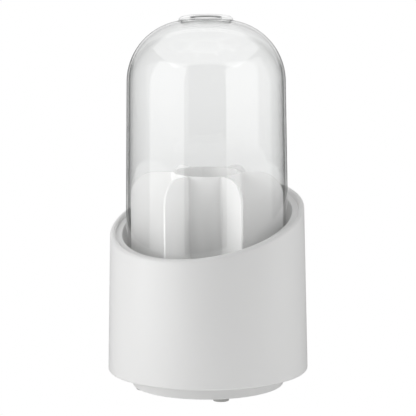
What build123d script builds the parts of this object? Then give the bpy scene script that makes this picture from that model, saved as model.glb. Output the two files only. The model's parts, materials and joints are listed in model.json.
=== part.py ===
from build123d import *
import math
import os

# A rotating holder for cosmetic brushes: a cup with a slanted rim turns on a low round
# foot, a divider insert stands in the cup and a clear dome drops over the divider.
# Lengths are millimetres and angles are degrees. +Z is up, the rim's low side faces -Y,
# and the origin is on the table, on the turntable's axis.

# Cup
cup_bottom = 10.8
cup_bottom_radius = 60.0
cup_draft = 0.0212            # loss of radius for each millimetre of height
cup_wall = 3.6
cup_floor = 3.2
cup_bottom_round = 1.4
seat_gap = 0.4                # round the insert's floor, which the cup's floor centres
rim_height = 102.9            # height of the slanted rim on the axis
rim_slope = 0.2774            # rise of the rim for each millimetre towards +Y
rim_round = 1.75
ledge_depth = 2.0             # of the flat ledge inside the rim, below the rim's top
ledge_thickness = 2.4
ledge_round = 0.6
bore_radius = 50.8            # of the inner wall, which hangs from the ledge round the dome
bore_wall = 2.0

# Divider insert
insert_radius = 49.6          # its round floor, which has to pass the cup's bore
insert_thickness = 2.4
divider_top = 130.8
tube_radius = 20.3
tube_wall = 1.6
wing_count = 6
wing_radius = 45.6
wing_thickness = 1.3
wing_corner = 14.5
wing_root_round = 1.5
wing_turn = -3.4              # of the first wing from +Y

# Dome
dome_wall = 1.3
dome_draft = 0.0146
dome_top = 221.2
shoulder_radius = 36.4
shoulder_centre = 10.82       # distance of the shoulder arc's centre from the axis
crown_radius = 16.0
crown_top = 223.6
crown_round = 1.9
crown_foot_round = 0.7
crown_inner_round = 0.7
hole_radius = 9.4
hole_round = 0.4
dome_edge_round = 0.5

# Foot, a shallow tray that stands still
foot_bottom = 2.0
foot_top = 10.2
foot_radius = 45.4
foot_floor = 2.4
foot_wall = 2.4
foot_edge_round = 0.8
foot_rib_count = 6
foot_rib_thickness = 1.6
hub_radius = 13.0
hub_top = 8.6

# Rubber pads under the foot
pad_count = 4
pad_radius = 5.4
pad_bottom_radius = 4.6
pad_circle = 39.0
pad_turn = -49.0
pad_sink = 0.6                # depth of the round seat that each pad is glued into
pad_seat_gap = 0.1

# Ball bearing between the foot and the cup
ball_count = 12
ball_radius = 2.38
ball_circle = 33.0
ball_height = 7.6             # of the balls' centres
race_gap = 0.15
race_width = 8.0
race_rise = 2.0               # height of each race above its floor
cage_width = 6.4
cage_thickness = 1.5
pocket_gap = 0.12

# Pivot at the centre
pivot_radius = 7.0
pivot_gap = 0.08
pivot_bottom = 5.2
washer_radius = 10.0
washer_thickness = 1.0
washer_hole = 1.9
washer_gap = 0.1
recess_gap = 0.6
screw_radius = 1.6
screw_gap = 0.05
screw_head_radius = 4.0
screw_head_height = 2.0
screw_head_round = 0.7
screw_slot_width = 1.0
screw_slot_length = 4.6
screw_slot_depth = 1.1
screw_top = 12.0

# Heights that follow from the sizes above
cup_inside = cup_bottom + cup_floor
insert_floor = cup_inside + insert_thickness
shoulder_height = dome_top - shoulder_radius
foot_inside = foot_bottom + foot_floor

on_floor = (Align.CENTER, Align.CENTER, Align.MIN)


def cup_radius(z):
    """Outer radius of the cup's wall."""
    return cup_bottom_radius - cup_draft * (z - cup_bottom)


def disc(radius, low, high):
    return Pos(0, 0, low) * Cylinder(radius, high - low, align=on_floor)


def ring(inner, outer, low, high):
    return disc(outer, low, high) - disc(inner, low, high)


def cone(low, high, inset=0.0):
    """The cup's outer cone between two heights, drawn in by inset."""
    body = Cone(cup_radius(low) - inset, cup_radius(high) - inset, high - low, align=on_floor)
    return Pos(0, 0, low) * body


def circular_edges(shape, radius, height):
    """The round edges of that radius whose centre is at that height."""
    return shape.edges().filter_by(
        lambda e: e.geom_type == GeomType.CIRCLE
        and abs(e.radius - radius) < 0.01
        and abs(e.arc_center.Z - height) < 0.01
    )


def around(shape, count, first=0.0):
    """Copies of a shape evenly round the axis."""
    return [Rot(0, 0, first + step * 360 / count) * shape for step in range(count)]


def ball_track():
    """The round tube that each race's groove is cut with."""
    return Pos(0, 0, ball_height) * Torus(ball_circle, ball_radius + race_gap)


def race(low, high):
    half = race_width / 2
    return ring(ball_circle - half, ball_circle + half, low, high) - ball_track()


def under_rim(shape, depth=0.0):
    """What lies under the rim's slanted plane, or under one that far below it."""
    rim = Plane((0, 0, rim_height), x_dir=(1, 0, 0), z_dir=(0, -rim_slope, 1)).offset(-depth)
    return split(shape, bisect_by=rim, keep=Keep.BOTTOM)


def base_shell():
    """The double-walled cup: skirt, ledge, bore and floor, with the upper race and pivot post."""
    blank_top = rim_height + rim_slope * cup_bottom_radius + cup_wall
    inner_cone = cone(cup_bottom, blank_top, cup_wall)
    gap_between_walls = under_rim(inner_cone, ledge_depth + ledge_thickness)
    gap_between_walls -= disc(bore_radius + bore_wall, cup_bottom, blank_top)
    cup = cone(cup_bottom, blank_top)
    cup = fillet(circular_edges(cup, cup_bottom_radius, cup_bottom), cup_bottom_round)
    cup -= gap_between_walls
    cup -= inner_cone - under_rim(inner_cone, ledge_depth)
    cup -= disc(bore_radius, insert_floor, blank_top)
    cup -= disc(insert_radius + seat_gap, cup_inside, insert_floor)
    cup = under_rim(cup)
    slanted = Axis((0, 0, 0), (0, -rim_slope, 1))
    ledge, lip = cup.faces().filter_by(slanted).sort_by(slanted)[-2:]
    cup = fillet(ledge.inner_wires().edges(), ledge_round)
    lip = cup.faces().filter_by(slanted).sort_by(slanted)[-1]
    cup = fillet(lip.edges(), rim_round)
    cup += race(cup_bottom - race_rise, cup_bottom)
    cup += disc(pivot_radius, pivot_bottom, cup_bottom)
    return cup - disc(screw_radius + screw_gap, pivot_bottom, screw_top + screw_gap)


def wing():
    """One upright partition, from inside the tube's wall out to the dome."""
    start = tube_radius - tube_wall / 2
    outline = Pos((start + wing_radius) / 2, (cup_inside + divider_top) / 2) * Rectangle(
        wing_radius - start, divider_top - cup_inside
    )
    corner = outline.vertices().sort_by(lambda v: v.X + v.Y)[-1]
    outline = fillet(corner, wing_corner)
    return extrude(Plane.XZ * outline, wing_thickness / 2, both=True)


def divider_insert():
    """Round floor, centre tube and wings in one moulding."""
    divider = disc(tube_radius, cup_inside, divider_top)
    divider += around(wing(), wing_count, 90 + wing_turn)
    roots = divider.edges().filter_by(Axis.Z).filter_by(
        lambda e: abs(math.hypot(e.center().X, e.center().Y) - tube_radius) < 0.1
    )
    divider = fillet(roots, wing_root_round)
    divider -= disc(tube_radius - tube_wall, insert_floor, divider_top)
    return divider + disc(insert_radius, cup_inside, insert_floor)


def dome_radius(z):
    """Outer radius of the dome's wall below its shoulder."""
    turn = math.atan(dome_draft)
    start = shoulder_centre + shoulder_radius * math.cos(turn)
    return start + dome_draft * (shoulder_height + shoulder_radius * math.sin(turn) - z)


def dome_cover():
    """The clear cover, open below, its wall stepped up to a low crown with a round hole."""
    draft_angle = math.degrees(math.atan(dome_draft))
    centre = (shoulder_centre, shoulder_height)
    inner_radius = shoulder_radius - dome_wall
    crown_inside = crown_top - dome_wall
    inner_crown = crown_radius - dome_wall
    outer_end = math.degrees(math.acos((crown_radius - shoulder_centre) / shoulder_radius))
    inner_end = math.degrees(math.acos((inner_crown - shoulder_centre) / inner_radius))
    outer_arc = CenterArc(centre, shoulder_radius, draft_angle, outer_end - draft_angle)
    inner_arc = CenterArc(centre, inner_radius, draft_angle, inner_end - draft_angle)
    outer_foot = (dome_radius(insert_floor), insert_floor)
    inner_foot = (dome_radius(insert_floor) - dome_wall, insert_floor)
    crown = Polyline(
        outer_arc @ 1,
        (crown_radius, crown_top),
        (hole_radius, crown_top),
        (hole_radius, crown_inside),
        (inner_crown, crown_inside),
        inner_arc @ 1,
    )
    foot = Polyline(inner_arc @ 0, inner_foot, outer_foot, outer_arc @ 0)
    profile = make_face(Curve() + [outer_arc, crown, inner_arc, foot])
    dome = revolve(Plane.XZ * profile, axis=Axis.Z)
    dome = fillet(circular_edges(dome, crown_radius, crown_top), crown_round)
    dome = fillet(circular_edges(dome, crown_radius, (outer_arc @ 1).Y), crown_foot_round)
    dome = fillet(circular_edges(dome, inner_crown, crown_inside), crown_inner_round)
    for height in (crown_top, crown_inside):
        dome = fillet(circular_edges(dome, hole_radius, height), hole_round)
    for radius in (outer_foot[0], inner_foot[0]):
        dome = fillet(circular_edges(dome, radius, insert_floor), dome_edge_round)
    return dome


def foot_disc():
    """The still tray under the cup, with the lower race, a hub and ribs between them."""
    tray = disc(foot_radius, foot_bottom, foot_top)
    tray = fillet(circular_edges(tray, foot_radius, foot_bottom), foot_edge_round)
    tray -= disc(foot_radius - foot_wall, foot_inside, foot_top)
    tray += race(foot_inside, foot_inside + race_rise)
    rib_length = ball_circle - race_width / 2
    rib = Pos(0, 0, foot_inside) * Box(
        rib_length, foot_rib_thickness, race_rise, align=(Align.MIN, Align.CENTER, Align.MIN)
    )
    tray += around(rib, foot_rib_count)
    tray += disc(hub_radius, foot_inside, hub_top)
    seat = Pos(pad_circle, 0, 0) * disc(pad_radius + pad_seat_gap, foot_bottom, foot_bottom + pad_sink)
    tray -= around(seat, pad_count, pad_turn)
    tray -= disc(pivot_radius + pivot_gap, foot_bottom, hub_top)
    return tray - disc(washer_radius + recess_gap, foot_bottom, pivot_bottom + washer_gap)


def foot_pads():
    """Rubber pads that taper below the foot and stand in its round seats."""
    pad = Cone(pad_bottom_radius, pad_radius, foot_bottom, align=on_floor)
    pad += disc(pad_radius, foot_bottom, foot_bottom + pad_sink)
    return around(Pos(pad_circle, 0, 0) * pad, pad_count, pad_turn)


def ball_cage():
    """A flat ring with a round pocket for each ball."""
    half = cage_width / 2
    low = ball_height - cage_thickness / 2
    cage = ring(ball_circle - half, ball_circle + half, low, low + cage_thickness)
    pocket = Cylinder(ball_radius + pocket_gap, 2 * cage_thickness)
    return cage - around(Pos(ball_circle, 0, ball_height) * pocket, ball_count)


def balls():
    return around(Pos(ball_circle, 0, ball_height) * Sphere(ball_radius), ball_count)


def pivot_washer():
    return ring(washer_hole, washer_radius, pivot_bottom - washer_thickness, pivot_bottom)


def pivot_screw():
    """A pan-head screw, driven up into the post through the washer."""
    head_top = pivot_bottom - washer_thickness
    head_bottom = head_top - screw_head_height
    head = disc(screw_head_radius, head_bottom, head_top)
    head = fillet(circular_edges(head, screw_head_radius, head_bottom), screw_head_round)
    slot = Pos(0, 0, head_bottom) * Box(
        screw_slot_length, screw_slot_width, screw_slot_depth, align=on_floor
    )
    return head - slot - Rot(0, 0, 90) * slot + disc(screw_radius, head_top, screw_top)


def numbered(name, shapes):
    return {f"{name}_{number}": shape for number, shape in enumerate(shapes, 1)}


parts = {
    "base_shell": base_shell(),
    "divider_insert": divider_insert(),
    "dome_cover": dome_cover(),
    "foot_disc": foot_disc(),
    "ball_cage": ball_cage(),
    "pivot_washer": pivot_washer(),
    "pivot_screw": pivot_screw(),
    **numbered("foot_pad", foot_pads()),
    **numbered("ball", balls()),
}

os.makedirs("parts", exist_ok=True)
for name, shape in parts.items():
    export_step(shape, f"parts/{name}.step")
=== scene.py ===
import json
import math
import bpy
from mathutils import Euler, Matrix, Vector

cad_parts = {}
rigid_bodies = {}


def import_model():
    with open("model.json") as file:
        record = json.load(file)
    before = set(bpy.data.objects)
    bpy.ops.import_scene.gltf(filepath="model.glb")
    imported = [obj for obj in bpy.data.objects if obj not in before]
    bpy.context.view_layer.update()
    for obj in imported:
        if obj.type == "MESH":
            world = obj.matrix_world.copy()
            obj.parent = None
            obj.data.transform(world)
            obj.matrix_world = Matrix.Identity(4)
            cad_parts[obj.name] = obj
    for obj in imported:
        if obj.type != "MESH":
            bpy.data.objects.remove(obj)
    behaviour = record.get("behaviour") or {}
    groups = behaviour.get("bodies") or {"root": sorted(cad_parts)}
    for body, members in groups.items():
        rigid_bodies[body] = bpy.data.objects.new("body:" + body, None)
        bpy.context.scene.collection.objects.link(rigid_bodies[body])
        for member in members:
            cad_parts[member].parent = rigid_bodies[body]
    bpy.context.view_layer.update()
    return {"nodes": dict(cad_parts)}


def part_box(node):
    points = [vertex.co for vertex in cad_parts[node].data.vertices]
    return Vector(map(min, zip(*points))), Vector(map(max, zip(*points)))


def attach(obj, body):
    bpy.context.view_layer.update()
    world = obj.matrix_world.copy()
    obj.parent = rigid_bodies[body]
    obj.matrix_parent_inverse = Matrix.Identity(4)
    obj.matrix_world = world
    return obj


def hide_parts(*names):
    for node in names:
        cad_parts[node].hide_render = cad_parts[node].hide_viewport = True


# A rotating holder for cosmetic brushes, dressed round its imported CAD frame.
# Lengths are metres, angles are degrees. Outlines are (distance from the axis, height).

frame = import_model()
bpy.ops.object.select_all(action="DESELECT")
print("frame loaded")


modelling = {
    "roundSteps": 5,   # on each rounded corner of an outline
    "seed": 0.001,     # side of the plane that each piece is drawn from
    "weld": 1e-6,      # points closer than this become one
    "levelDigits": 7,  # heights that agree to this many digits are one level
    "flatAngle": 30,   # faces meeting at less than this are shaded as one surface
    "spare": 0.001,    # how far a cutting piece stands out past what it cuts
}


# Drawing outlines

def arc(centre, radius, start, end, steps):
    turns = [math.radians(start + (end - start) * k / steps) for k in range(steps + 1)]
    return [(centre[0] + radius * math.cos(t), centre[1] + radius * math.sin(t)) for t in turns]


def softened(corners):
    # corners are (x, y) where sharp, or (x, y, radius) where rounded
    line = []
    steps = modelling["roundSteps"]
    for k, corner in enumerate(corners):
        here = Vector(corner[:2])
        if len(corner) == 2:
            line.append(tuple(here))
            continue
        back = (Vector(corners[k - 1][:2]) - here).normalized()
        ahead = (Vector(corners[(k + 1) % len(corners)][:2]) - here).normalized()
        half = back.angle(ahead) / 2
        centre = here + (back + ahead).normalized() * corner[2] / math.sin(half)
        start = here + back * corner[2] / math.tan(half) - centre
        sweep = start.angle_signed(here + ahead * corner[2] / math.tan(half) - centre)
        for step in range(steps + 1):
            turned = Matrix.Rotation(-sweep * step / steps, 2) @ start
            line.append(tuple(centre + turned))
    return line


# Modelling, as by hand

def startPiece(name, point):
    bpy.ops.object.select_all(action="DESELECT")
    bpy.ops.mesh.primitive_plane_add(size=modelling["seed"])
    piece = bpy.context.object
    piece.name = name
    bpy.ops.object.mode_set(mode="EDIT")
    bpy.ops.mesh.select_mode(type="VERT")
    bpy.ops.mesh.merge(type="CENTER")  # the plane shrinks to one point, which is then drawn out
    bpy.ops.transform.translate(value=point)
    return piece


def drawLine(points):
    for here, there in zip(points, points[1:]):
        reach = Vector(there) - Vector(here)
        bpy.ops.mesh.extrude_region_move(TRANSFORM_OT_translate={"value": reach})


def closeUp():
    bpy.ops.mesh.select_all(action="SELECT")
    bpy.ops.mesh.remove_doubles(threshold=modelling["weld"])
    bpy.ops.mesh.normals_make_consistent(inside=False)


def turnedPiece(name, outline, steps):
    # an outline that starts and ends on the axis, or a loop clear of it, spun round the axis
    points = [(across, 0, up) for across, up in outline]
    onAxis = outline[0][0] == 0 and outline[-1][0] == 0
    piece = startPiece(name, points[0])
    drawLine(points if onAxis else points + points[:1])
    bpy.ops.mesh.select_all(action="SELECT")
    bpy.ops.mesh.remove_doubles(threshold=modelling["weld"])
    bpy.ops.mesh.spin(steps=steps, angle=2 * math.pi, center=(0, 0, 0), axis=(0, 0, 1))
    closeUp()
    bpy.ops.object.mode_set(mode="OBJECT")
    return piece


def raisedPiece(name, outline, low, high):
    # a flat closed outline on the floor plan, filled and pulled up
    points = [(x, y, low) for x, y in outline]
    piece = startPiece(name, points[0])
    drawLine(points + points[:1])
    bpy.ops.mesh.select_all(action="SELECT")
    bpy.ops.mesh.remove_doubles(threshold=modelling["weld"])
    bpy.ops.mesh.edge_face_add()
    bpy.ops.mesh.extrude_region_move(TRANSFORM_OT_translate={"value": (0, 0, high - low)})
    closeUp()
    bpy.ops.object.mode_set(mode="OBJECT")
    return piece


def useAlone(piece):
    bpy.ops.object.select_all(action="DESELECT")
    piece.select_set(True)
    bpy.context.view_layer.objects.active = piece


def applied(piece, kind, **settings):
    useAlone(piece)
    modifier = piece.modifiers.new(kind.title(), kind)
    for key, value in settings.items():
        setattr(modifier, key, value)
    bpy.ops.object.modifier_apply(modifier=modifier.name)


def combined(piece, tool, operation):
    applied(piece, "BOOLEAN", operation=operation, object=tool, solver="EXACT")
    bpy.data.objects.remove(tool)


def copied(piece, name, turn):
    twin = piece.copy()
    twin.data = piece.data.copy()
    twin.name = name
    bpy.context.collection.objects.link(twin)
    twin.data.transform(Matrix.Rotation(math.radians(turn), 4, "Z"))
    return twin


def smoothed(piece):
    useAlone(piece)
    angle = math.radians(modelling["flatAngle"])
    bpy.ops.object.shade_smooth_by_angle(angle=angle, keep_sharp_edges=False)


def placed(piece, body, slot, finish, *nodes):
    if not piece.data.materials:
        piece.data.materials.append(finish)
    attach(piece, body)
    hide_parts(*nodes)


# Shader maths: a socket that can be added, taken away and multiplied

class Wire:
    def __init__(self, finish, socket):
        self.finish, self.socket = finish, socket

    def __add__(self, other):
        return self.finish.sum("ADD", self, other)

    def __sub__(self, other):
        return self.finish.sum("SUBTRACT", self, other)

    def __rsub__(self, other):
        return self.finish.sum("SUBTRACT", other, self)

    def __mul__(self, other):
        return self.finish.sum("MULTIPLY", self, other)

    def __pow__(self, other):
        return self.finish.sum("POWER", self, other)

    __radd__ = __add__
    __rmul__ = __mul__


class Finish:
    def __init__(self, owner):
        owner.use_nodes = True
        self.tree = owner.node_tree
        self.tree.nodes.clear()

    def node(self, kind, settings, sockets, out=0):
        made = self.tree.nodes.new(kind)
        for key, value in settings.items():
            setattr(made, key, value)
        for key, value in sockets.items():
            if isinstance(value, Wire):
                self.tree.links.new(value.socket, made.inputs[key])
            else:
                made.inputs[key].default_value = value
        return Wire(self, made.outputs[out])

    def sum(self, operation, first, second):
        return self.node("ShaderNodeMath", {"operation": operation}, {0: first, 1: second})

    def place(self, stretch=(1, 1, 1)):
        spot = self.node("ShaderNodeTexCoord", {}, {}, "Object")
        return self.node("ShaderNodeMapping", {}, {"Vector": spot, "Scale": stretch})

    def noise(self, scale, detail=2.0, stretch=(1, 1, 1)):
        sockets = {"Vector": self.place(stretch), "Scale": scale, "Detail": detail}
        return self.node("ShaderNodeTexNoise", {}, sockets, "Fac")

    def blend(self, share, first, second):
        sockets = {0: share, 6: (*first, 1), 7: (*second, 1)}
        return self.node("ShaderNodeMix", {"data_type": "RGBA"}, sockets, 2)

    def bump(self, height, strength, depth):
        sockets = {"Height": height, "Strength": strength, "Distance": depth}
        return self.node("ShaderNodeBump", {}, sockets)

    def shown(self, surface, output="ShaderNodeOutputMaterial"):
        end = self.tree.nodes.new(output)
        self.tree.links.new(surface.socket, end.inputs["Surface"])


def newFinish(name):
    material = bpy.data.materials.new(name)
    return material, Finish(material)


# Finishes

whiteLook = {  # gloss is roughness, grain is how fine the texture is
    "cup": {"light": (0.82, 0.82, 0.815), "shade": (0.8, 0.8, 0.795),
            "gloss": 0.34, "grain": 2400},
    "divider": {"light": (0.95, 0.95, 0.945), "shade": (0.93, 0.93, 0.925),
                "gloss": 0.4, "grain": 2000},
    "foot": {"light": (0.8, 0.8, 0.795), "shade": (0.77, 0.77, 0.765),
             "gloss": 0.45, "grain": 1800},
    "cage": {"light": (0.78, 0.77, 0.72), "shade": (0.74, 0.73, 0.67),
             "gloss": 0.5, "grain": 1500},
}
mouldedSkin = {  # shared by all the white mouldings
    "cloud": 28,
    "cloudSwell": 6,
    "smear": 60,
    "smearStretch": (1, 1, 0.25),
    "smearShare": 0.12,
    "bending": 1.53,
    "bump": 0.05,
    "bumpDepth": 0.00005,
}


def whiteMoulding(name):
    # moulded plastic: faint clouding, fine grain, a little smearing in its gloss
    look, skin = whiteLook[name], mouldedSkin
    material, finish = newFinish(name + "Plastic")
    cloud = finish.noise(skin["cloud"], 3)
    smear = finish.noise(skin["smear"], 4, skin["smearStretch"])
    grain = finish.noise(look["grain"], 2)
    swell = grain + cloud * skin["cloudSwell"]
    finish.shown(finish.node("ShaderNodeBsdfPrincipled", {}, {
        "Base Color": finish.blend(cloud, look["shade"], look["light"]),
        "Roughness": look["gloss"] + (smear - 0.5) * skin["smearShare"],
        "IOR": skin["bending"],
        "Normal": finish.bump(swell, skin["bump"], skin["bumpDepth"]),
    }))
    return material


clearLook = {  # passed is looked through high up, a darker colour is looked through low down, lit lets light in
    "dome": {"passed": (0.985, 0.987, 0.986), "tinted": (0.955, 0.957, 0.956),
             "lit": (1, 1, 1), "gloss": 0.012, "smear": 0.03},
    # the hole's edge: its dark see-through colour is painted shade, for the dark look refraction
    # gives the clear cut edge
    "holeEdgeShade": {"passed": (0.5, 0.505, 0.505), "tinted": (0.5, 0.505, 0.505),
                 "lit": (0.7, 0.7, 0.7), "gloss": 0.12, "smear": 0.1},
}
clearWall = {
    "clearAt": 0.18,  # heights between which the see-through colour turns darker towards the bottom
    "tintedAt": 0.13,
    "mirror": 0.045,  # share mirrored when met head on
    "grazing": 5,     # how late the mirroring rises towards the edges
    "ripple": 14,
    "rippleStretch": (1, 1, 0.4),
    "bump": 0.04,
    "bumpDepth": 0.002,
    "smear": 50,
}


def clearPlastic(name):
    # polished thin wall: what it doesn't mirror passes straight on, tinted a little and darker
    # towards the bottom
    look, wall = clearLook[name], clearWall
    material, finish = newFinish(name + "Plastic")
    ripple = finish.noise(wall["ripple"], 1, wall["rippleStretch"])
    smear = finish.noise(wall["smear"], 4)
    height = finish.node("ShaderNodeSeparateXYZ", {}, {"Vector": finish.place()}, "Z")
    low = finish.node("ShaderNodeMapRange", {}, {
        "Value": height, "From Min": wall["clearAt"], "From Max": wall["tintedAt"],
    })
    passed, tinted, clear = (
        finish.node("ShaderNodeBsdfTransparent", {}, {"Color": (*look[key], 1)})
        for key in ("passed", "tinted", "lit")
    )
    passed = finish.node("ShaderNodeMixShader", {}, {0: low, 1: passed, 2: tinted})
    mirrored = finish.node("ShaderNodeBsdfPrincipled", {}, {
        "Base Color": (1, 1, 1, 1),
        "Metallic": 1.0,
        "Roughness": look["gloss"] + smear * look["smear"],
        "Normal": finish.bump(ripple, wall["bump"], wall["bumpDepth"]),
    })
    slant = finish.node("ShaderNodeLayerWeight", {}, {"Blend": 0.5}, "Facing")
    share = wall["mirror"] + slant ** wall["grazing"] * (1 - wall["mirror"])
    shell = finish.node("ShaderNodeMixShader", {}, {0: share, 1: passed, 2: mirrored})
    for ray in ("Is Shadow Ray", "Is Diffuse Ray"):  # light reaches what stands under it
        share = finish.node("ShaderNodeLightPath", {}, {}, ray)
        shell = finish.node("ShaderNodeMixShader", {}, {0: share, 1: shell, 2: clear})
    finish.shown(shell)
    return material


rubberLook = {
    "light": (0.5, 0.5, 0.49),
    "shade": (0.42, 0.42, 0.41),
    "gloss": 0.7,
    "glossRange": 0.2,
    "cloud": 180,
    "grain": 3200,
    "bump": 0.3,
    "bumpDepth": 0.0001,
}


def greyRubber():
    look = rubberLook
    material, finish = newFinish("padRubber")
    cloud = finish.noise(look["cloud"], 4)
    grain = finish.noise(look["grain"], 3)
    finish.shown(finish.node("ShaderNodeBsdfPrincipled", {}, {
        "Base Color": finish.blend(cloud, look["shade"], look["light"]),
        "Roughness": look["gloss"] + cloud * look["glossRange"],
        "Normal": finish.bump(grain, look["bump"], look["bumpDepth"]),
    }))
    return material


steelLook = {
    "ball": {"light": (0.78, 0.78, 0.79), "shade": (0.7, 0.7, 0.71),
             "gloss": 0.14, "cloud": 400, "stretch": (1, 1, 1)},
    "screw": {"light": (0.72, 0.72, 0.74), "shade": (0.58, 0.59, 0.62),
              "gloss": 0.32, "cloud": 700, "stretch": (1, 1, 3)},
}
steelSkin = {"glossRange": 0.15, "bump": 0.05, "bumpDepth": 0.00005}


def steel(name):
    look, skin = steelLook[name], steelSkin
    material, finish = newFinish(name + "Steel")
    cloud = finish.noise(look["cloud"], 3, look["stretch"])
    finish.shown(finish.node("ShaderNodeBsdfPrincipled", {}, {
        "Base Color": finish.blend(cloud, look["shade"], look["light"]),
        "Metallic": 1.0,
        "Roughness": look["gloss"] + (cloud - 0.5) * skin["glossRange"],
        "Normal": finish.bump(cloud, skin["bump"], skin["bumpDepth"]),
    }))
    return material


cupPlastic = whiteMoulding("cup")
dividerPlastic = whiteMoulding("divider")
footPlastic = whiteMoulding("foot")
cagePlastic = whiteMoulding("cage")
domePlastic = clearPlastic("dome")
# the hole edge's finish has painted shade in its see-through colour
holeEdgeShade = clearPlastic("holeEdgeShade")
padRubber = greyRubber()
ballSteel = steel("ball")
screwSteel = steel("screw")
print("finishes mixed")


# Dome

domeLow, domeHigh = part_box("dome_cover")
dome = {
    "wall": 0.0013,
    "draft": 0.0146,
    "shoulder": 0.0364,
    "shoulderCentre": 0.01082,
    "crown": 0.016,
    "crownRise": 0.0024,
    "crownRound": 0.0019,
    "crownFoot": 0.0007,
    "crownInner": 0.0007,
    "hole": 0.0094,
    "holeRound": 0.0004,
    "footRound": 0.0005,
    "shoulderSteps": 44,
    "steps": 192,
}


def wallFoot(start):
    # where the dome's drafted wall meets its lower edge
    return start[0] + dome["draft"] * (start[1] - domeLow.z), domeLow.z, dome["footRound"]


def makeDome():
    top = domeHigh.z - dome["crownRise"]
    heart = (dome["shoulderCentre"], top - dome["shoulder"])
    lean = math.degrees(math.atan(dome["draft"]))

    def shoulder(inset, end):
        # the shoulder's arc, up to where it meets the crown
        size = dome["shoulder"] - inset
        turn = math.degrees(math.acos((dome["crown"] - inset - heart[0]) / size))
        return arc(heart, size, lean, turn, dome["shoulderSteps"])[:end]

    outer = shoulder(0, dome["shoulderSteps"])
    inner = shoulder(dome["wall"], dome["shoulderSteps"] + 1)[::-1]
    crown = [
        (*shoulder(0, None)[-1], dome["crownFoot"]),
        (dome["crown"], domeHigh.z, dome["crownRound"]),
        (dome["hole"], domeHigh.z, dome["holeRound"]),
        (dome["hole"], domeHigh.z - dome["wall"], dome["holeRound"]),
        (dome["crown"] - dome["wall"], domeHigh.z - dome["wall"], dome["crownInner"]),
    ]
    outline = softened(outer + crown + inner + [wallFoot(inner[-1]), wallFoot(outer[0])])
    cover = turnedPiece("clearDome", outline, dome["steps"])
    cover.data.materials.append(domePlastic)
    cover.data.materials.append(holeEdgeShade)
    # faces inside the hole take the finish with painted shade
    for face in cover.data.polygons:
        inHole = math.hypot(face.center.x, face.center.y) < dome["hole"] + dome["holeRound"] / 2
        face.material_index = int(inHole)
    smoothed(cover)
    placed(cover, "dome", "dome_plastic", domePlastic, "dome_cover")


makeDome()
print("dome made")


# Cup

cup = {
    "bottom": 0.0108,
    "radius": 0.06,
    "draft": 0.0212,
    "wall": 0.0036,
    "floor": 0.0032,
    "bottomRound": 0.0014,
    "rimHeight": 0.1029,
    "rimSlope": 0.2774,
    "rimRound": 0.00175,
    "edgeRound": 0.0003,
    "post": 0.007,
    "postRoot": 0.0005,
    "screwHole": 0.00165,
    "screwTop": 0.01205,
    "ledgeDepth": 0.002,
    "ledge": 0.0024,
    "ledgeRound": 0.0006,
    "bore": 0.0508,
    "boreWall": 0.002,
    "seat": 0.05,
    "seatDepth": 0.0024,
    "steps": 192,
}
race = {
    "circle": 0.033,
    "groove": 0.00253,
    "centre": 0.0076,
    "width": 0.008,
    "rise": 0.002,
    "steps": 12,
}


def cupRadius(height):
    return cup["radius"] - cup["draft"] * (height - cup["bottom"])


def raceOutline(floor, way):
    # a low ring with a round groove, standing up from a floor (1) or hanging under it (-1)
    half = race["width"] / 2
    face = floor + way * race["rise"]
    turn = math.degrees(math.asin((race["centre"] - face) * way / race["groove"]))
    start, end = 180 + way * turn, 180 + way * (180 - turn)
    groove = arc((race["circle"], race["centre"]), race["groove"], start, end, race["steps"])
    inside = [(race["circle"] - half, floor), (race["circle"] - half, face)]
    outside = [(race["circle"] + half, face), (race["circle"] + half, floor)]
    return inside + groove + outside


def slanted(piece, above):
    # tips each level of the piece above that height to the rim's slope, leaving its plan as it was
    slant = math.atan(cup["rimSlope"])
    levels = {}
    for k, point in enumerate(piece.data.vertices):
        if point.co.z > above:
            levels.setdefault(round(point.co.z, modelling["levelDigits"]), []).append(k)
    for level, members in levels.items():
        bpy.ops.object.mode_set(mode="EDIT")
        bpy.ops.mesh.select_mode(type="VERT")
        bpy.ops.mesh.select_all(action="DESELECT")
        bpy.ops.object.mode_set(mode="OBJECT")
        for k in members:
            piece.data.vertices[k].select = True
        bpy.ops.object.mode_set(mode="EDIT")
        centre = (0, 0, level)
        bpy.ops.transform.resize(value=(1, 1 / math.cos(slant), 1), center_override=centre)
        bpy.ops.transform.rotate(value=-slant, orient_axis="X", center_override=centre)
    closeUp()
    bpy.ops.object.mode_set(mode="OBJECT")


def makeCup():
    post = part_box("base_shell")[0].z
    inside = cup["bottom"] + cup["floor"]
    ledge = cup["rimHeight"] - cup["ledgeDepth"]
    underLedge = ledge - cup["ledge"]
    boreOutside = cup["bore"] + cup["boreWall"]
    outline = softened([
        (0, cup["screwTop"]),
        (cup["screwHole"], cup["screwTop"]),
        (cup["screwHole"], post),
        (cup["post"], post, cup["edgeRound"]),
        (cup["post"], cup["bottom"], cup["postRoot"]),
        *raceOutline(cup["bottom"], -1),
        (boreOutside, cup["bottom"], cup["edgeRound"]),
        (boreOutside, underLedge),
        (cupRadius(underLedge) - cup["wall"], underLedge),
        (cupRadius(cup["bottom"]) - cup["wall"], cup["bottom"], cup["edgeRound"]),
        (cup["radius"], cup["bottom"], cup["bottomRound"]),
        (cupRadius(cup["rimHeight"]), cup["rimHeight"], cup["rimRound"]),
        (cupRadius(cup["rimHeight"]) - cup["wall"], cup["rimHeight"], cup["rimRound"]),
        (cupRadius(ledge) - cup["wall"], ledge),
        (cup["bore"], ledge, cup["ledgeRound"]),
        (cup["bore"], inside + cup["seatDepth"]),
        (cup["seat"], inside + cup["seatDepth"], cup["edgeRound"]),
        (cup["seat"], inside),
        (0, inside),
    ])
    shell = turnedPiece("slantedCup", outline, cup["steps"])
    slanted(shell, underLedge - cup["ledge"])
    smoothed(shell)
    placed(shell, "cup", "cup_plastic", cupPlastic, "base_shell")


makeCup()
print("cup made")


# Divider

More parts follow.
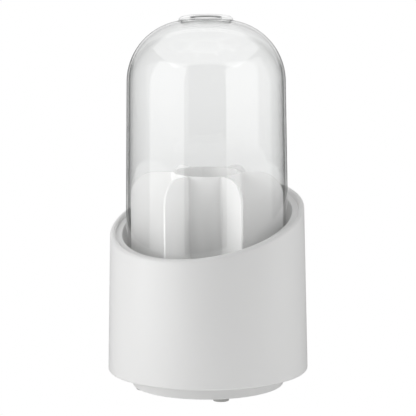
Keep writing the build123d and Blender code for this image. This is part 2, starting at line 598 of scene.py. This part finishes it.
dividerLow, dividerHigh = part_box("divider_insert")
divider = {
    "floor": 0.0024,
    "floorRadius": 0.0496,
    "tube": 0.0203,
    "tubeWall": 0.0016,
    "wings": 6,
    "wing": 0.0456,
    "wingThickness": 0.0013,
    "wingCorner": 0.0145,
    "root": 0.0015,
    "turn": -3.4,
    "edgeRound": 0.0003,
    "edgeSteps": 2,
    "edgeAngle": 40,  # edges bent by more than this are rounded
    "bendSteps": 12,
    "cornerSteps": 16,
    "boreSteps": 96,
    "steps": 192,
}


def starOutline():
    # the tube's outside and the wings, with a soft root where each wing leaves the tube
    half = divider["wingThickness"] / 2
    gap = math.degrees(math.asin(half / divider["tube"]))
    step = 360 / divider["wings"]
    corners = []
    for wing in range(divider["wings"]):
        turn = 90 + divider["turn"] + wing * step
        out = Matrix.Rotation(math.radians(turn), 2)
        for side in (-1, 1):
            corners.append((*(out @ Vector((divider["wing"], side * half))), divider["edgeRound"]))
        bend = arc((0, 0), divider["tube"], turn + gap, turn + step - gap, divider["bendSteps"])
        corners += [(*bend[0], divider["root"]), *bend[1:-1], (*bend[-1], divider["root"])]
    return softened(corners)


def makeDivider():
    # the star is raised too tall, cut to the wings' side view, floored and bored
    low, high, spare = dividerLow.z, dividerHigh.z, modelling["spare"]
    floorTop, floorEdge = low + divider["floor"], divider["floorRadius"]
    bore = divider["tube"] - divider["tubeWall"]
    corner = arc(
        (divider["wing"] - divider["wingCorner"], high - divider["wingCorner"]),
        divider["wingCorner"], 0, 90, divider["cornerSteps"],
    )
    limit = [(0, low), (divider["wing"], low), *corner, (0, high)]
    plate = [(0, low), (floorEdge, low), (floorEdge, floorTop), (0, floorTop)]
    hollow = [(0, floorTop), (bore, floorTop), (bore, high + spare), (0, high + spare)]
    insert = raisedPiece("dividerInsert", starOutline(), low + spare, high + spare)
    combined(insert, turnedPiece("wingLimit", limit, divider["steps"]), "INTERSECT")
    combined(insert, turnedPiece("roundFloor", plate, divider["steps"]), "UNION")
    combined(insert, turnedPiece("tubeBore", hollow, divider["boreSteps"]), "DIFFERENCE")
    applied(
        insert, "BEVEL", width=divider["edgeRound"], segments=divider["edgeSteps"],
        angle_limit=math.radians(divider["edgeAngle"]),
    )
    smoothed(insert)
    placed(insert, "divider", "divider_plastic", dividerPlastic, "divider_insert")


makeDivider()
print("divider made")


# Foot

footLow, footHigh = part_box("foot_disc")
foot = {
    "radius": 0.0454,
    "floor": 0.0024,
    "wall": 0.0024,
    "edgeRound": 0.0008,
    "brimRound": 0.0005,
    "innerRound": 0.001,
    "hub": 0.013,
    "hubTop": 0.0086,
    "hubRound": 0.0004,
    "bore": 0.00708,
    "recess": 0.0106,
    "recessTop": 0.0053,
    "recessRound": 0.0003,
    "ribs": 6,
    "ribThickness": 0.0016,
    "steps": 160,
}
pad = {
    "count": 4,
    "radius": 0.0054,
    "bottom": 0.0046,
    "bottomRound": 0.0004,
    "dimple": 0.0016,
    "dimpleEdge": 0.0019,
    "dimpleDepth": 0.0002,
    "dimpleRound": 0.0001,
    "circle": 0.039,
    "turn": -49,
    "sink": 0.0006,
    "play": 0.0001,  # round the pad in its seat
    "steps": 48,
}


def padTurn(k):
    return pad["turn"] + 360 * k / pad["count"]


def makeFoot():
    inside = footLow.z + foot["floor"]
    outline = softened([
        (foot["recess"], footLow.z, foot["recessRound"]),
        (foot["radius"], footLow.z, foot["edgeRound"]),
        (foot["radius"], footHigh.z, foot["brimRound"]),
        (foot["radius"] - foot["wall"], footHigh.z, foot["brimRound"]),
        (foot["radius"] - foot["wall"], inside, foot["innerRound"]),
        *reversed(raceOutline(inside, 1)),
        (foot["hub"], inside, foot["innerRound"]),
        (foot["hub"], foot["hubTop"], foot["hubRound"]),
        (foot["bore"], foot["hubTop"]),
        (foot["bore"], foot["recessTop"]),
        (foot["recess"], foot["recessTop"]),
    ])
    tray = turnedPiece("footDisc", outline, foot["steps"])
    half = foot["ribThickness"] / 2  # also how far ribs and seat cutters overrun
    near, far = foot["hub"] - half, race["circle"] - race["width"] / 2 + half
    for k in range(foot["ribs"]):
        out = Matrix.Rotation(math.radians(360 * k / foot["ribs"]), 2)
        plan = [(near, -half), (far, -half), (far, half), (near, half)]
        plan = [out @ Vector(point) for point in plan]
        combined(tray, raisedPiece("rib", plan, inside - half, inside + race["rise"]), "UNION")
    edge, under, over = pad["radius"] + pad["play"], footLow.z - half, footLow.z + pad["sink"]
    for k in range(pad["count"]):
        hollow = [(0, under), (edge, under), (edge, over), (0, over)]
        seat = turnedPiece("padSeat", hollow, pad["steps"])
        seat.data.transform(Matrix.Translation((pad["circle"], 0, 0)))
        seat.data.transform(Matrix.Rotation(math.radians(padTurn(k)), 4, "Z"))
        combined(tray, seat, "DIFFERENCE")
    smoothed(tray)
    placed(tray, "foot", "foot_plastic", footPlastic, "foot_disc")


def makePads():
    # a dimple in the middle, a flat ring on the table, and a slanted side up into the seat
    top = footLow.z + pad["sink"]
    outline = softened([
        (0, pad["dimpleDepth"]),
        (pad["dimple"], pad["dimpleDepth"], pad["dimpleRound"]),
        (pad["dimpleEdge"], 0, pad["dimpleRound"]),
        (pad["bottom"], 0, pad["bottomRound"]),
        (pad["radius"], footLow.z),
        (pad["radius"], top),
        (0, top),
    ])
    first = turnedPiece("rubberPad", outline, pad["steps"])
    first.data.transform(Matrix.Translation((pad["circle"], 0, 0)))
    smoothed(first)
    for k in range(pad["count"]):
        twin = copied(first, f"rubberPad{k + 1}", padTurn(k))
        placed(twin, "foot", "pad_rubber", padRubber, f"foot_pad_{k + 1}")
    bpy.data.objects.remove(first)


makeFoot()
makePads()
print("foot made")


# Turntable parts that keep their CAD shape

carried = {"ball_cage": cagePlastic, "pivot_washer": screwSteel, "pivot_screw": screwSteel}
for name, node in frame["nodes"].items():
    if name.startswith("ball_") and name not in carried:
        carried[name] = ballSteel
for name, finish in carried.items():
    for slot in frame["nodes"][name].material_slots:
        slot.material = finish
print("turntable dressed")


# Studio

view = {
    "azimuth": 29.8,   # of the camera, from straight in front towards the right
    "across": 0.0006,
    "away": 1.75,
    "height": 0.408,
    "down": 9.7,
    "roll": -0.37,
    "lens": 257.1,
    "farthest": 50,
}
lamps = {  # turn is from the camera round to the right, bright is each lamp's radiance
    "leftGloss": {"turn": -59, "away": 0.5, "height": 0.24, "aim": 0.24,
                  "wide": 0.53, "tall": 0.66, "bright": 1.0},
    "rightGloss": {"turn": 66, "away": 0.5, "height": 0.24, "aim": 0.24,
                   "wide": 0.8, "tall": 0.66, "bright": 0.68},
    "topGloss": {"turn": 0, "away": 0.01, "height": 1.1, "aim": 0.1,
                 "wide": 2.3, "tall": 1.8, "bright": 0.82},
    "backGloss": {"turn": 180, "away": 1.6, "height": 1.2, "aim": 1.2,
                  "wide": 2.2, "tall": 1.84, "bright": 0.85},
    "leftFill": {"turn": -74, "away": 0.8, "height": 0.35, "aim": 0.2,
                 "wide": 0.6, "tall": 0.6, "bright": 2.6},
    "rightFill": {"turn": 101, "away": 0.8, "height": 0.35, "aim": 0.2,
                  "wide": 0.6, "tall": 0.6, "bright": 1.25},
    "insideLeftFill": {"turn": -52, "away": 0.9, "height": 0.5, "aim": 0.1,
                       "wide": 0.5, "tall": 0.5, "bright": 2.0, "only": "dividerInsert"},
    "insideRightFill": {"turn": 56, "away": 0.9, "height": 0.7, "aim": 0.1,
                        "wide": 0.5, "tall": 0.5, "bright": 3.2, "only": "dividerInsert"},
}
room = {"seen": 1.0, "around": 0.475, "mirrored": 0.12}
backdrop = {
    "radius": 9,
    "corners": 64,
    "light": (0.9, 0.9, 0.9),
    "shade": (0.88, 0.88, 0.88),
    "cloud": 3,
    "gloss": 0.8,
    "glow": 0.35,
}


def standAt(turn, away, height):
    angle = math.radians(view["azimuth"] + turn)
    return Vector((away * math.sin(angle), -away * math.cos(angle), height))


def makeCamera():
    data = bpy.data.cameras.new("camera")
    data.lens = view["lens"]
    data.clip_end = view["farthest"]
    camera = bpy.data.objects.new("camera", data)
    bpy.context.collection.objects.link(camera)
    camera.location = standAt(0, view["away"], view["height"]) + standAt(90, view["across"], 0)
    tilt = Euler((math.radians(90 - view["down"]), 0, math.radians(view["azimuth"]))).to_matrix()
    roll = Matrix.Rotation(math.radians(view["roll"]), 3, "Z")
    camera.rotation_euler = (tilt @ roll).to_euler()
    bpy.context.scene.camera = camera


def makeLamps():
    for name, lamp in lamps.items():
        data = bpy.data.lights.new(name, "AREA")
        data.shape = "RECTANGLE"
        data.size, data.size_y = lamp["wide"], lamp["tall"]
        data.energy = lamp["bright"] * math.pi * lamp["wide"] * lamp["tall"]
        box = bpy.data.objects.new(name, data)
        bpy.context.collection.objects.link(box)
        box.location = standAt(lamp["turn"], lamp["away"], lamp["height"])
        ahead = Vector((0, 0, lamp["aim"])) - box.location
        box.rotation_euler = ahead.to_track_quat("-Z", "Y").to_euler()
        box.visible_camera = False
        box.visible_transmission = False
        box.visible_diffuse = name.endswith("Fill")
        box.visible_glossy = name.endswith("Gloss")
        if "only" in lamp:  # light thrown on one piece alone
            chosen = bpy.data.collections.new(name)
            chosen.objects.link(bpy.data.objects[lamp["only"]])
            box.light_linking.receiver_collection = chosen


def makeRoom():
    # white to look at, dimmer as a source of light, and dark to the object's gloss
    world = bpy.data.worlds.new("room")
    bpy.context.scene.world = world
    finish = Finish(world)
    around, mirrored, seen = (
        finish.node("ShaderNodeBackground", {}, {"Color": (1, 1, 1, 1), "Strength": room[part]})
        for part in ("around", "mirrored", "seen")
    )
    for other, ray in ((mirrored, "Is Glossy Ray"), (seen, "Is Camera Ray")):
        share = finish.node("ShaderNodeLightPath", {}, {}, ray)
        around = finish.node("ShaderNodeMixShader", {}, {0: share, 1: around, 2: other})
    finish.shown(around, "ShaderNodeOutputWorld")


def makeFloor():
    # looked at, it is as white as the room, and it throws soft light up under the cup
    bpy.ops.object.select_all(action="DESELECT")
    bpy.ops.mesh.primitive_circle_add(
        vertices=backdrop["corners"], radius=backdrop["radius"], fill_type="NGON",
    )
    floor = bpy.context.object
    floor.name = "paleFloor"
    material, finish = newFinish("paleSweep")
    cloud = finish.noise(backdrop["cloud"], 2)
    pale = finish.node("ShaderNodeBsdfPrincipled", {}, {
        "Base Color": finish.blend(cloud, backdrop["shade"], backdrop["light"]),
        "Roughness": backdrop["gloss"],
        "Emission Color": (1, 1, 1, 1),
        "Emission Strength": backdrop["glow"],
    })
    white = finish.node("ShaderNodeEmission", {}, {"Color": (1, 1, 1, 1), "Strength": room["seen"]})
    looked = finish.node("ShaderNodeLightPath", {}, {}, "Is Camera Ray")
    finish.shown(finish.node("ShaderNodeMixShader", {}, {0: looked, 1: pale, 2: white}))
    floor.data.materials.append(material)
    floor.visible_glossy = False  # the soft boxes, not the floor, show in the object's gloss


makeCamera()
makeLamps()
makeRoom()
makeFloor()
bpy.context.scene.view_settings.view_transform = "Standard"
print("studio lit")
